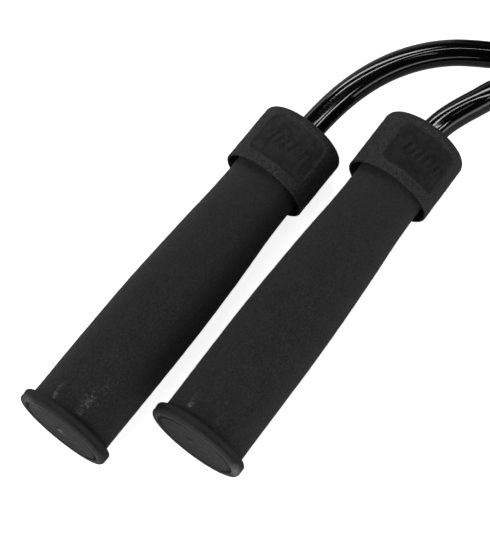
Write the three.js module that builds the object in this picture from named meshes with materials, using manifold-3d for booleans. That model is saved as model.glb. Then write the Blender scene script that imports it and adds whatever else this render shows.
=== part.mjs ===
// Jump rope: two foam-gripped handles with a ball bearing in each nose, and one PVC rope
// between them. The spare rope is folded into a flat oval hank held by two ties.
// Millimetres, +Z up, both handles lying on z = 0 with the rope ends towards +Y.
import * as THREE from "three";
import { mergeVertices } from "three/addons/utils/BufferGeometryUtils.js";
import Module from "manifold-3d";

const wasm = await Module();
wasm.setup();

// ---------------------------------------------------------------- driving dimensions
const HANDLE_LENGTH = 144.72; // butt face to nose face
const FLANGE_R = 19.02; // butt flange
const FLANGE_T = 4.5;
const GRIP_START = 4.8; // the sleeve butts against the flange
const GRIP_END = 120.9;
const GRIP_PROFILE = [ // [distance from the butt face, radius] of the sleeve's outside
  [4.8, 16.0], [5.6, 16.45], [10, 16.5], [33.3, 16.55], [47.6, 16.47], [61.8, 16.23],
  [76.1, 15.68], [90.4, 14.97], [104.7, 14.1], [112, 13.86], [118.9, 13.76], [120.9, 13.75],
];
const COLLAR_START = 118.92; // lower rim of the nose collar
const COLLAR_R = 17.15;
const COLLAR_NOSE_ROUND = 3.0; // rounding at the rope end
const COLLAR_SKIRT_R = 15.0; // inside of the skirt, which stands off the neck
const COLLAR_WALL_Z = 137.9; // inner face of the nose wall
const PANEL = { z0: 123.2, z1: 141.0, width: 23.4, depth: 0.55, corner: 3.5 };
const TUBE_R_OUT = 10.5;
const TUBE_R_IN = 8.6;
const TUBE_END = 126.2;
const HOUSING = { z0: 122.1, z1: 137.6, rOut: 14.6, rSeat: 12.3, wall: 132.8, rHole: 7.6 };
const BEARING = { z: 129.5, half: 3.0, rOut: 12.0, rBore: 6.0, pitch: 9.0, ball: 1.75, groove: 2.05, balls: 8 };
const ROPE_R = 5.1; // 10.2 mm thick cord
const GAP = 0.3; // running and assembly gap between touching pieces

// Handle placing: butt-face centre, and the direction from butt to nose. The flange is wider
// than the collar, so each handle slopes down towards the rope.
const HANDLES = [
  { side: "left", at: [-21.192, -84.026, 19.051], along: [0.012547, 0.999832, -0.013384], panelRoll: 11 },
  { side: "right", at: [21.192, -60.665, 19.051], along: [-0.012547, 0.999832, -0.013384], panelRoll: 25.3 },
];

// Rope route from inside each handle, out of the nose and down beside the hank's south end.
const LEFT_RUN = [
  [-19.72, 33.67, 17.475], [-19.62, 41.04, 17.375], [-19.53, 48.4, 17.275], [-19.44, 55.77, 17.175],
  [-19.25, 63.13, 17.11], [-18.7, 70.48, 17.1], [-17.73, 77.78, 17.09], [-16.23, 84.99, 17.03],
  [-14.14, 92.06, 16.86], [-11.41, 98.9, 16.51], [-8.01, 105.43, 15.96], [-3.93, 111.56, 15.22],
  [0.81, 117.19, 14.3], [6.19, 122.22, 13.24], [12.17, 126.51, 12.07], [18.34, 130.53, 10.87],
  [23.9, 135.36, 9.67], [28.61, 141.01, 8.54], [32.28, 147.38, 7.53], [34.79, 154.3, 6.68],
  [36.12, 161.54, 6.02], [36.32, 166.0, 5.7],
];
const RIGHT_RUN = [
  [19.72, 57.03, 17.475], [19.62, 64.43, 17.375], [19.53, 71.83, 17.275], [19.44, 79.24, 17.175],
  [19.44, 86.64, 17.11], [20.71, 93.92, 17.1], [23.25, 100.86, 17.08], [26.25, 107.63, 16.91],
  [29.07, 114.47, 16.39], [32.52, 121.02, 15.41], [36.22, 127.43, 14.03], [39.75, 133.93, 12.35],
  [42.81, 140.67, 10.54], [45.08, 147.71, 8.79], [46.35, 155.0, 7.28], [46.6, 162.39, 6.15],
  [46.6, 169.79, 5.5], [46.6, 175.3, 5.4],
];
// Hank: an oval of two strands side by side in three layers, straight sides along Y.
const HANK = { xc: 5.4, y0: 205, straight: 100, rIn: 25.9, rOut: 46.3, z0: 1.85, z1: 32.8 };
const TIE = { width: 16, thick: 1.5, eastY: 280, westY: 230 };

// ---------------------------------------------------------------- helpers
const PART = new THREE.Group();
const material = (color, roughness, metalness = 0) => new THREE.MeshStandardMaterial({ color, roughness, metalness });
const v2 = (list) => list.map(([r, z]) => new THREE.Vector2(r, z));

// A turned solid about local Z from a profile of [radius, z] that runs up the outside.
function turned(profile, segments = 40) {
  const g = new THREE.LatheGeometry(v2(profile), segments);
  g.rotateX(Math.PI / 2);
  return g;
}
// A turned ring whose profile closes on itself.
const ring = (profile, segments) => turned([...profile, profile[0]], segments);

const arc = (cr, cz, r, a0, a1, n) =>
  Array.from({ length: n + 1 }, (_, i) => {
    const a = ((a0 + ((a1 - a0) * i) / n) * Math.PI) / 180;
    return [cr + r * Math.cos(a), cz + r * Math.sin(a)];
  });

function toSolid(geometry) {
  const g = (geometry.index ? geometry.toNonIndexed() : geometry).clone();
  g.deleteAttribute("normal");
  g.deleteAttribute("uv");
  const m = mergeVertices(g, 1e-4);
  return new wasm.Manifold(
    new wasm.Mesh({
      numProp: 3,
      vertProperties: new Float32Array(m.attributes.position.array),
      triVerts: new Uint32Array(m.index.array),
    }),
  );
}
function toGeometry(solid) {
  const m = solid.getMesh();
  const g = new THREE.BufferGeometry();
  g.setAttribute("position", new THREE.BufferAttribute(new Float32Array(m.vertProperties), 3));
  g.setIndex(new THREE.BufferAttribute(new Uint32Array(m.triVerts), 1));
  g.computeVertexNormals();
  return g;
}
function add(group, name, geometry, mat) {
  const mesh = new THREE.Mesh(geometry, mat);
  mesh.name = name;
  group.add(mesh);
  return mesh;
}
// A cord of round section along points.
function cord(points, sides = 10) {
  const section = new THREE.Shape();
  for (let i = 0; i < sides; i++) {
    const a = (2 * Math.PI * i) / sides;
    section[i ? "lineTo" : "moveTo"](ROPE_R * Math.cos(a), ROPE_R * Math.sin(a));
  }
  section.closePath();
  const path = new THREE.CatmullRomCurve3(points.map((p) => new THREE.Vector3(...p)), false, "centripetal");
  return new THREE.ExtrudeGeometry(section, {
    steps: Math.max(2, Math.round(path.getLength() / 11)),
    bevelEnabled: false,
    extrudePath: path,
  });
}

// ---------------------------------------------------------------- one handle
function endCap() {
  // flange with a shallow round groove and a small centre dimple, on a solid spigot
  return turned([
    [0, 16], [8.2, 16], [8.2, FLANGE_T], // spigot, seen from inside
    ...arc(FLANGE_R - 2.0, FLANGE_T - 2.0, 2.0, 90, 0, 3),
    ...arc(FLANGE_R - 2.4, 2.4, 2.4, 0, -90, 3),
    [15.9, 0], [15.7, 0.5], [15.1, 0.5], [14.9, 0],
    [1.9, 0], [1.5, 0.9], [0, 0.9],
  ].reverse(), 40);
}
const coreTube = () =>
  ring([
    [TUBE_R_OUT, GRIP_START], [TUBE_R_OUT, 122.4], [12.0, 122.9], [12.0, TUBE_END],
    [TUBE_R_IN, TUBE_END], [TUBE_R_IN, GRIP_START],
  ], 32);
const gripSleeve = () =>
  ring([...GRIP_PROFILE.map(([z, r]) => [r, z]), [TUBE_R_OUT + GAP, GRIP_END], [TUBE_R_OUT + GAP, GRIP_START]], 36);
const noseHousing = () =>
  ring([
    [13.9, HOUSING.z0], [HOUSING.rOut, HOUSING.z0 + 0.7], [HOUSING.rOut, HOUSING.z1 - 0.7],
    [HOUSING.rOut - 0.7, HOUSING.z1], [HOUSING.rHole, HOUSING.z1], [HOUSING.rHole, HOUSING.wall],
    [HOUSING.rSeat, HOUSING.wall], [HOUSING.rSeat, HOUSING.z0],
  ], 32);
function collar(roll) {
  const e = COLLAR_NOSE_ROUND;
  const body = toSolid(
    ring([
      [COLLAR_SKIRT_R, COLLAR_START + 0.6], [COLLAR_SKIRT_R + 0.5, COLLAR_START],
      ...arc(COLLAR_R - 1.2, COLLAR_START + 1.2, 1.2, -90, 0, 3),
      ...arc(COLLAR_R - e, HANDLE_LENGTH - e, e, 0, 90, 4),
      [6.3, HANDLE_LENGTH], [5.65, HANDLE_LENGTH - 0.7], [5.65, COLLAR_WALL_Z], [COLLAR_SKIRT_R, COLLAR_WALL_Z],
    ], 40),
  );
  // the shallow round-cornered panel: a prism pointing outward, less a cylinder at the floor's radius
  const w = PANEL.width / 2, h = (PANEL.z1 - PANEL.z0) / 2, c = PANEL.corner;
  const s = new THREE.Shape();
  s.moveTo(-w + c, -h); s.lineTo(w - c, -h); s.absarc(w - c, -h + c, c, -Math.PI / 2, 0, false);
  s.lineTo(w, h - c); s.absarc(w - c, h - c, c, 0, Math.PI / 2, false);
  s.lineTo(-w + c, h); s.absarc(-w + c, h - c, c, Math.PI / 2, Math.PI, false);
  s.lineTo(-w, -h + c); s.absarc(-w + c, -h + c, c, Math.PI, 1.5 * Math.PI, false);
  const prism = new THREE.ExtrudeGeometry(s, { depth: 12, bevelEnabled: false, curveSegments: 4 });
  prism.translate(0, 0, 9); // from radius 9 outwards
  prism.rotateX(-Math.PI / 2); // outward is now local +Y, height along -Z
  prism.translate(0, 0, (PANEL.z0 + PANEL.z1) / 2);
  const floor = new THREE.CylinderGeometry(COLLAR_R - PANEL.depth, COLLAR_R - PANEL.depth, 40, 40);
  floor.rotateX(Math.PI / 2);
  floor.translate(0, 0, (PANEL.z0 + PANEL.z1) / 2);
  const tool = toSolid(prism).subtract(toSolid(floor));
  const g = toGeometry(body.subtract(tool));
  return g;
}
function race(outer) {
  const { z, half, rOut, rBore, pitch, groove } = BEARING;
  if (outer) {
    const a = 50;
    return ring([
      [rOut - 0.3, z - half], [rOut, z - half + 0.3], [rOut, z + half - 0.3], [rOut - 0.3, z + half],
      [10.55, z + half], ...arc(pitch, z, groove, a, -a, 4), [10.55, z - half],
    ], 24);
  }
  const a = 50;
  return ring([
    [rBore, z - half], [7.45, z - half], ...arc(pitch, z, groove, 180 + a, 180 - a, 4), [7.45, z + half], [rBore, z + half],
  ], 24);
}
function cage() {
  let solid = toSolid(ring([[8.3, BEARING.z - 2.6], [9.7, BEARING.z - 2.6], [9.7, BEARING.z + 2.6], [8.3, BEARING.z + 2.6]], 24));
  for (let i = 0; i < BEARING.balls; i++) {
    const a = (2 * Math.PI * i) / BEARING.balls;
    const hole = new THREE.CylinderGeometry(2.05, 2.05, 5, 10); // axis along local Y, radial once turned
    hole.translate(0, BEARING.pitch, 0);
    hole.rotateZ(a);
    hole.translate(0, 0, BEARING.z);
    solid = solid.subtract(toSolid(hole));
  }
  return toGeometry(solid);
}

const RUBBER = 0x2a2a2b, FOAM = 0x29292a, CAP = 0x343536;
for (const h of HANDLES) {
  const group = new THREE.Group();
  const axis = new THREE.Vector3(...h.along).normalize();
  const up = new THREE.Vector3(0, 0, 1).addScaledVector(axis, -axis.z).normalize();
  const side = new THREE.Vector3().crossVectors(up, axis);
  group.quaternion.setFromRotationMatrix(new THREE.Matrix4().makeBasis(side, up, axis));
  group.position.set(...h.at);
  PART.add(group);
  const n = (s) => `${h.side}_${s}`;

  add(group, n("end_cap"), endCap(), material(CAP, 0.6));
  add(group, n("core_tube"), coreTube(), material(0x1c1c1e, 0.5));
  add(group, n("grip_sleeve"), gripSleeve(), material(FOAM, 0.85));
  add(group, n("nose_housing"), noseHousing(), material(0x1c1c1e, 0.5));
  // local +X points to world -X, so a positive roll turns the panel towards world +X
  const c = add(group, n("collar"), collar(), material(RUBBER, 0.8));
  c.rotation.z = (h.panelRoll * Math.PI) / 180;
  add(group, n("bearing_outer_race"), race(true), material(0xb8babd, 0.3, 1));
  add(group, n("bearing_inner_race"), race(false), material(0xb8babd, 0.3, 1));
  add(group, n("bearing_cage"), cage(), material(0xb08d4a, 0.4, 1));
  for (let i = 0; i < BEARING.balls; i++) {
    const a = (2 * Math.PI * i) / BEARING.balls;
    const ball = add(group, n(`bearing_ball_${i + 1}`), new THREE.SphereGeometry(BEARING.ball, 10, 6), material(0xd0d2d4, 0.15, 1));
    ball.position.set(-BEARING.pitch * Math.sin(a), BEARING.pitch * Math.cos(a), BEARING.z);
  }
  add(group, n("thrust_washer"), ring([[5.6, 125.3], [8.2, 125.3], [8.2, 126.2], [5.6, 126.2]], 24), material(0xb8babd, 0.35, 1));
  add(group, n("rope_ferrule"),
    ring([[5.4, 117.4], [7.1, 117.4], [7.4, 117.8], [7.4, 124.6], [7.1, 125.0], [5.4, 125.0]], 24),
    material(0xb09a6a, 0.4, 1));
}

// ---------------------------------------------------------------- rope
const ropeMat = () => material(0x0a0a0b, 0.2);
add(PART, "rope_left_run", cord(LEFT_RUN), ropeMat());
add(PART, "rope_right_run", cord(RIGHT_RUN), ropeMat());

function oval(target, r) {
  const { xc, y0, straight } = HANK;
  target.moveTo(xc + r, y0);
  target.lineTo(xc + r, y0 + straight);
  target.absarc(xc, y0 + straight, r, 0, Math.PI, false);
  target.lineTo(xc - r, y0);
  target.absarc(xc, y0, r, Math.PI, 2 * Math.PI, false);
  return target;
}
const hankShape = oval(new THREE.Shape(), HANK.rOut);
hankShape.holes.push(oval(new THREE.Path(), HANK.rIn));
const hank = new THREE.ExtrudeGeometry(hankShape, { depth: HANK.z1 - HANK.z0, bevelEnabled: false, curveSegments: 14 });
hank.translate(0, 0, HANK.z0);
add(PART, "rope_hank", hank, ropeMat());

// A tie is a flat strap wrapped round one side of the hank.
function tie(xLow, xHigh, y) {
  const x0 = xLow - 0.35, x1 = xHigh + 0.35, z0 = TIE.thick, z1 = HANK.z1 + 0.3, t = TIE.thick;
  const box = (target, d, c) => {
    target.moveTo(x0 - d + c, z0 - d); target.lineTo(x1 + d - c, z0 - d); target.lineTo(x1 + d, z0 - d + c);
    target.lineTo(x1 + d, z1 + d - c); target.lineTo(x1 + d - c, z1 + d); target.lineTo(x0 - d + c, z1 + d);
    target.lineTo(x0 - d, z1 + d - c); target.lineTo(x0 - d, z0 - d + c); target.lineTo(x0 - d + c, z0 - d);
    return target;
  };
  const s = box(new THREE.Shape(), t, 1.5);
  s.holes.push(box(new THREE.Path(), 0, 0.01));
  const g = new THREE.ExtrudeGeometry(s, { depth: TIE.width, bevelEnabled: false });
  g.rotateX(Math.PI / 2);
  g.translate(0, y + TIE.width / 2, 0);
  return g;
}
add(PART, "hank_tie_east", tie(HANK.xc + HANK.rIn, HANK.xc + HANK.rOut, TIE.eastY), material(0x151516, 0.8));
add(PART, "hank_tie_west", tie(HANK.xc - HANK.rOut, HANK.xc - HANK.rIn, TIE.westY), material(0x151516, 0.8));

export default PART;
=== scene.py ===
import math

import bmesh
import bpy
import numpy as np
from mathutils import Matrix, Vector, kdtree, noise


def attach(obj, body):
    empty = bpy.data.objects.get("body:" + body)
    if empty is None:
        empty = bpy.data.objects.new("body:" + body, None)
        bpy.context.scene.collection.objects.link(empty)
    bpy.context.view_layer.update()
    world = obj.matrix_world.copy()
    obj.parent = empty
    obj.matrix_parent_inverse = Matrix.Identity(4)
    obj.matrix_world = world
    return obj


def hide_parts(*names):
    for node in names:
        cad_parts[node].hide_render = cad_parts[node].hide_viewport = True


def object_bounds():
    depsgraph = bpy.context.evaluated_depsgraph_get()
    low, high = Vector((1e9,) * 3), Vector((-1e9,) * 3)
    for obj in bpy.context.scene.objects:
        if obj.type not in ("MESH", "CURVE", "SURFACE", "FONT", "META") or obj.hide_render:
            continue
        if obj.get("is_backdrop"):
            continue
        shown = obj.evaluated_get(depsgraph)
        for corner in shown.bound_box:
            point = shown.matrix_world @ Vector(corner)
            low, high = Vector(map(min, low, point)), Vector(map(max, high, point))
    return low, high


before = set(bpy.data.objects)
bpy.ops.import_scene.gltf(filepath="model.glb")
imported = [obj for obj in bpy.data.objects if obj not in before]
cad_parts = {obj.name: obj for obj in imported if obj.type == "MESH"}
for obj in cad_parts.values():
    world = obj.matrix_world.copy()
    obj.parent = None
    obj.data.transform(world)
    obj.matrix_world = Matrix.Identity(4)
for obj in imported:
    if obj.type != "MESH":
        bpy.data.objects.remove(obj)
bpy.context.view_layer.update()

MM = 0.001
scene = bpy.context.scene
scene.view_settings.view_transform = "Standard"
scene.view_settings.look = "None"

# ------------------------------------------------------------------ camera
cam_data = bpy.data.cameras.new("camera")
cam_data.lens = 135.12
cam_data.sensor_width = 36.0
cam_data.clip_start, cam_data.clip_end = 0.02, 30.0
camera = bpy.data.objects.new("camera", cam_data)
scene.collection.objects.link(camera)
camera.matrix_world = Matrix((
    (0.79438203, -0.51446238, 0.32293289, 0.239517),
    (0.59712132, 0.758886, -0.25988109, -0.193659),
    (-0.11137021, 0.39927498, 0.91004185, 0.702506),
    (0, 0, 0, 1),
))
scene.camera = camera

# ------------------------------------------------------------------ mesh helpers (millimetres in, metres out)
def make(name, verts, faces, material, body, matrix=None, stands_for=(), sharp=38.0, attributes=None, weld=False):
    mesh = bpy.data.meshes.new(name)
    mesh.from_pydata([tuple(v) for v in (np.asarray(verts, float) * MM).tolist()], [], [tuple(f) for f in faces])
    for key, values in (attributes or {}).items():
        a = mesh.attributes.new(key, "FLOAT", "POINT")
        a.data.foreach_set("value", np.asarray(values, np.float32))
    if weld:
        bm = bmesh.new()
        bm.from_mesh(mesh)
        bmesh.ops.remove_doubles(bm, verts=bm.verts, dist=2e-6)
        bmesh.ops.recalc_face_normals(bm, faces=bm.faces)
        bm.to_mesh(mesh)
        bm.free()
    mesh.polygons.foreach_set("use_smooth", [True] * len(mesh.polygons))
    mesh.set_sharp_from_angle(angle=math.radians(sharp))
    mesh.materials.append(material)
    obj = bpy.data.objects.new(name, mesh)
    scene.collection.objects.link(obj)
    if matrix is not None:
        obj.matrix_world = matrix
    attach(obj, body)
    if stands_for:
        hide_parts(*stands_for)
    return obj


def grid_faces(m, n, closed_m, closed_n=True):
    faces = []
    for i in range(m if closed_m else m - 1):
        i2 = (i + 1) % m
        for j in range(n if closed_n else n - 1):
            j2 = (j + 1) % n
            faces.append((i * n + j, i * n + j2, i2 * n + j2, i2 * n + j))
    return faces


def revolve(profile, n, closed, shape=None):
    """Rings about Z from a profile of (r, z); shape(r, z, theta) may move the points."""
    p = np.asarray(profile, float)
    th = np.arange(n) * 2 * math.pi / n
    r = np.repeat(p[:, 0][:, None], n, 1)
    z = np.repeat(p[:, 1][:, None], n, 1)
    t = np.repeat(th[None, :], len(p), 0)
    if shape:
        r, z = shape(r, z, t)
    verts = np.stack([r * np.cos(t), r * np.sin(t), z], -1).reshape(-1, 3)
    return verts, grid_faces(len(p), n, closed), t.reshape(-1)


def corners(points, closed=True, seg=5):
    """Rounds a polygon of (r, z, radius) with arcs."""
    out, k = [], len(points)
    for i, (x, y, rad) in enumerate(points):
        p = np.array((x, y), float)
        if (not closed and i in (0, k - 1)) or rad <= 0:
            out.append(tuple(p))
            continue
        a = np.array(points[i - 1][:2], float) - p
        b = np.array(points[(i + 1) % k][:2], float) - p
        la, lb = np.linalg.norm(a), np.linalg.norm(b)
        a, b = a / la, b / lb
        half = math.acos(max(-1, min(1, float(a @ b)))) / 2
        if half > math.radians(88):
            out.append(tuple(p))
            continue
        d = min(rad / math.tan(half), la * 0.49, lb * 0.49)
        rr = d * math.tan(half)
        c = p + (a + b) / np.linalg.norm(a + b) * (rr / math.sin(half))
        s, e = p + a * d - c, p + b * d - c
        a0 = math.atan2(s[1], s[0])
        da = (math.atan2(e[1], e[0]) - a0 + math.pi) % (2 * math.pi) - math.pi
        for q in range(seg + 1):
            t = a0 + da * q / seg
            out.append((c[0] + rr * math.cos(t), c[1] + rr * math.sin(t)))
    return out


def densify(profile, step, closed=True):
    out, k = [], len(profile)
    for i in range(k if closed else k - 1):
        a, b = np.array(profile[i], float), np.array(profile[(i + 1) % k], float)
        m = max(1, int(math.ceil(np.linalg.norm(b - a) / step)))
        out += [tuple(a + (b - a) * q / m) for q in range(m)]
    if not closed:
        out.append(tuple(profile[-1]))
    return out


def smooth(points, step):
    """Centripetal Catmull-Rom through points, resampled every step."""
    p = [np.array(q, float) for q in points]
    p = [2 * p[0] - p[1]] + p + [2 * p[-1] - p[-2]]
    dense = []
    for i in range(1, len(p) - 2):
        t = [0.0]
        for a, b in ((p[i - 1], p[i]), (p[i], p[i + 1]), (p[i + 1], p[i + 2])):
            t.append(t[-1] + max(1e-6, np.linalg.norm(b - a)) ** 0.5)
        for u in np.linspace(t[1], t[2], 9)[:-1]:
            a1 = (t[1] - u) / (t[1] - t[0]) * p[i - 1] + (u - t[0]) / (t[1] - t[0]) * p[i]
            a2 = (t[2] - u) / (t[2] - t[1]) * p[i] + (u - t[1]) / (t[2] - t[1]) * p[i + 1]
            a3 = (t[3] - u) / (t[3] - t[2]) * p[i + 1] + (u - t[2]) / (t[3] - t[2]) * p[i + 2]
            b1 = (t[2] - u) / (t[2] - t[0]) * a1 + (u - t[0]) / (t[2] - t[0]) * a2
            b2 = (t[3] - u) / (t[3] - t[1]) * a2 + (u - t[1]) / (t[3] - t[1]) * a3
            dense.append((t[2] - u) / (t[2] - t[1]) * b1 + (u - t[1]) / (t[2] - t[1]) * b2)
    dense.append(p[-2])
    d = np.array(dense)
    s = np.concatenate([[0], np.cumsum(np.linalg.norm(np.diff(d, axis=0), axis=1))])
    want = np.linspace(0, s[-1], max(2, int(round(s[-1] / step)) + 1))
    return np.stack([np.interp(want, s, d[:, k]) for k in range(3)], -1), s[-1]


def nz(points, scale, seed=0.0):
    """Smooth noise, about -1 to 1, at each point (mm); scale is cycles per mm."""
    q = np.asarray(points, float) * scale + seed
    return np.array([noise.noise(Vector(v)) for v in q.tolist()])


def step(t, a, b):
    t = np.clip((t - a) / (b - a), 0, 1)
    return t * t * (3 - 2 * t)


# ------------------------------------------------------------------ materials
FOAM_DARK, FOAM_LIGHT = 0.0056, 0.0200


class Nodes:
    """Thin helper that adds and links nodes."""

    def __init__(self, name):
        self.mat = bpy.data.materials.new(name)
        self.mat.use_nodes = True
        self.t = self.mat.node_tree
        self.t.nodes.clear()
        self.out = self.t.nodes.new("ShaderNodeOutputMaterial")
        self.bsdf = self.t.nodes.new("ShaderNodeBsdfPrincipled")
        self.t.links.new(self.bsdf.outputs[0], self.out.inputs[0])

    def add(self, kind, inputs=None, **props):
        n = self.t.nodes.new(kind)
        for k, v in props.items():
            setattr(n, k, v)
        for k, v in (inputs or {}).items():
            self.put(n.inputs[k], v)
        return n

    def put(self, socket, v):
        if isinstance(v, bpy.types.NodeSocket):
            self.t.links.new(v, socket)
        else:
            socket.default_value = v

    def mm(self, source="Object"):
        c = self.add("ShaderNodeTexCoord")
        return self.add("ShaderNodeVectorMath", {0: c.outputs[source], "Scale": 1000.0}, operation="SCALE").outputs[0]

    def noise(self, vec, scale, detail=2.0, rough=0.5):
        return self.add("ShaderNodeTexNoise", {"Vector": vec, "Scale": scale, "Detail": detail, "Roughness": rough}).outputs["Fac"]

    def range(self, v, a, b, lo, hi, clamp=True):
        return self.add("ShaderNodeMapRange", {0: v, 1: a, 2: b, 3: lo, 4: hi}, clamp=clamp).outputs[0]

    def math(self, op, a, b=0.0, clamp=False):
        return self.add("ShaderNodeMath", {0: a, 1: b}, operation=op, use_clamp=clamp).outputs[0]

    def mix(self, fac, a, b):
        n = self.add("ShaderNodeMix", data_type="RGBA")
        self.put(n.inputs[0], fac)
        self.put(n.inputs[6], a)
        self.put(n.inputs[7], b)
        return n.outputs[2]

    def bump(self, height, distance, strength=1.0, normal=None):
        i = {"Height": height, "Distance": distance, "Strength": strength}
        if normal is not None:
            i["Normal"] = normal
        return self.add("ShaderNodeBump", i).outputs[0]

    def set(self, **inputs):
        for k, v in inputs.items():
            self.put(self.bsdf.inputs[k.replace("_", " ")], v)
        return self.mat


def grey(v, tint=0.0):
    return (v * (1 + tint), v, v * (1 - tint), 1.0)


def foam(name, patches, crease_from, crease_to):
    """Closed-cell foam rubber: fine mottled grain, a base colour that lightens towards the collar end, dusty scuffs at
    the given places and painted shade in the crease behind the flange.
    """
    n = Nodes(name)
    p = n.mm()
    cells = n.noise(p, 1.15, 3.0, 0.62)
    blotch = n.noise(p, 0.16, 3.0, 0.55)
    fine = n.noise(p, 2.1, 3.0, 0.65)
    base = n.mix(n.range(cells, 0.38, 0.62, 0, 1), grey(FOAM_DARK), grey(FOAM_LIGHT))
    base = n.mix(n.range(fine, 0.52, 0.68, 0, 0.6), base, grey(FOAM_LIGHT * 1.7))
    base = n.mix(n.range(blotch, 0.35, 0.7, 0, 0.35), base, grey((FOAM_DARK + FOAM_LIGHT) * 0.62, 0.02))
    mask = None
    for i, (c, size, keep, gain) in enumerate(patches):
        rel = n.add("ShaderNodeVectorMath", {0: p, 1: c}, operation="SUBTRACT").outputs[0]
        rel = n.add("ShaderNodeVectorMath", {0: rel, 1: tuple(1.0 / q for q in size)}, operation="MULTIPLY").outputs[0]
        d = n.add("ShaderNodeVectorMath", {0: rel}, operation="LENGTH").outputs["Value"]
        near = n.range(d, 1.0, 0.1, 0, 1)
        shifted = n.add("ShaderNodeVectorMath", {0: p, 1: (7.0 * i, 3.0, 1.0)}, operation="ADD").outputs[0]
        speck = n.noise(shifted, 1.15, 3.0, 0.72)
        need = n.range(near, 0, 1, keep + 0.12, keep)
        m = n.math("MULTIPLY", n.math("MULTIPLY", n.math("SUBTRACT", speck, need), 9.0, clamp=True), n.range(near, 0, 0.5, 0, gain))
        mask = m if mask is None else n.math("MAXIMUM", mask, m)
    dust = n.range(n.noise(p, 1.9, 2.0, 0.6), 0.70, 0.80, 0, 0.22)
    mask = dust if mask is None else n.math("MAXIMUM", mask, dust)
    base = n.mix(mask, base, grey(0.120, 0.02))
    sep = n.add("ShaderNodeSeparateXYZ", {0: p})
    # painted shade: a dark band in the crease just behind the flange, stronger across one side of the handle
    crease_shade = n.math("MULTIPLY", n.range(sep.outputs[2], 5.4, 6.7, 0.9, 0), n.range(sep.outputs[0], crease_from, crease_to, 0, 1))
    base = n.mix(crease_shade, base, grey(0.0012))
    # base colour lighter towards the collar end
    base = n.mix(n.range(sep.outputs[2], 55, 110, 0, 0.20), base, grey(FOAM_LIGHT * 1.9))
    h = n.math("ADD", n.math("MULTIPLY", cells, 1.0), n.math("MULTIPLY", fine, 0.5))
    return n.set(Base_Color=base, Roughness=n.range(blotch, 0.3, 0.7, 0.80, 0.92), Normal=n.bump(h, 0.00060, 0.75),
                 Sheen_Weight=0.05, Sheen_Roughness=0.5, Specular_IOR_Level=0.35)


def collar_rubber(name, satin_dark, satin_light):
    """Moulded rubber: spark-eroded stipple outside the panel, with light flecks on it that are painted glints, and a
    finer satin texture inside it.
    """
    n = Nodes(name)
    p = n.mm()
    panel = n.add("ShaderNodeAttribute", attribute_name="panel").outputs["Fac"]
    grain = n.noise(p, 1.15, 3.0, 0.62)
    fine = n.noise(p, 1.9, 3.0, 0.65)
    blotch = n.noise(p, 0.40, 3.0, 0.60)
    rough_zone = n.math("SUBTRACT", 1.0, panel, clamp=True)
    stipple = n.mix(n.range(grain, 0.40, 0.60, 0, 1), grey(0.0070), grey(0.0300))
    # painted glints: light flecks on the stipple
    stipple = n.mix(n.range(fine, 0.54, 0.66, 0, 0.7), stipple, grey(0.0600))
    satin = n.mix(n.range(blotch, 0.35, 0.65, 0, 1), grey(satin_dark), grey(satin_light))
    base = n.mix(n.range(rough_zone, 0, 1, 0.0, 1.0), satin, stipple)
    h = n.math("ADD", n.math("MULTIPLY", grain, n.range(rough_zone, 0, 1, 0.16, 1.0)), n.math("MULTIPLY", fine, n.range(rough_zone, 0, 1, 0.12, 0.5)))
    return n.set(Base_Color=base, Roughness=n.range(panel, 0, 1, 0.74, 0.78), Normal=n.bump(h, 0.00080, 0.7), Specular_IOR_Level=n.range(panel, 0, 1, 0.38, 0.22))


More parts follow.
